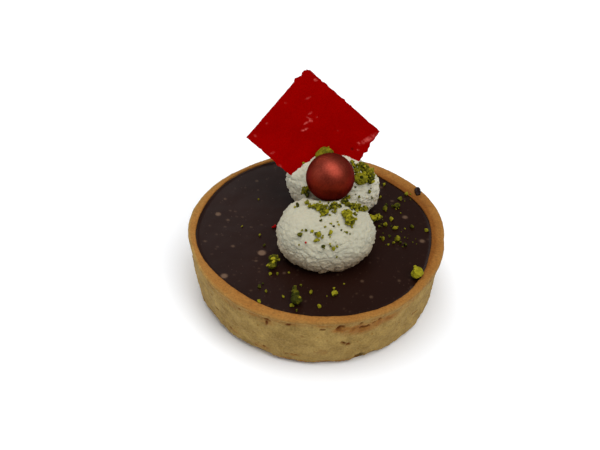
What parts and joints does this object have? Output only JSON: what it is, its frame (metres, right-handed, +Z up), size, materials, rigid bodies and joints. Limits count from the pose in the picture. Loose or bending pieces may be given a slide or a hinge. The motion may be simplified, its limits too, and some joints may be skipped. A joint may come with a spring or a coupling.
{
  "type": "chocolate pistachio tartlet",
  "caption": "Round shortcrust tartlet filled with dark ganache, topped with cream dollops, a chocolate pearl, a thin red plaque and chopped pistachio.",
  "frame": {"origin": "middle of the shell's flat underside", "axes": "+Z up through the tart, -Y towards the front dollop, +X to the right"},
  "size_m": [0.0805, 0.08, 0.0635],
  "materials": {
    "shortcrust": "baked shortcrust, sandy and matt, browner at the rim",
    "ganache": "set dark ganache, satin, with small light air-bubble spots",
    "cream": "whipped cream, matt and pebbly",
    "pearl": "chocolate dusted with bronze-red lustre powder",
    "plaque": "coloured chocolate, satin, slightly grainy",
    "pistachio": "chopped nut, matt"
  },
  "bodies": {
    "root": {"crust": "shortcrust", "ganache": "ganache", "cream_front": "cream", "cream_back": "cream", "pearl": "pearl", "plaque": "plaque", "pistachio_behind_pearl": "pistachio", "pistachio_back_right": "pistachio", "pistachio_front": "pistachio", "pistachio_saddle": "pistachio", "pistachio_rim": "pistachio", "pistachio_left": "pistachio", "pistachio_low_front": "pistachio"}
  },
  "joints": []
}
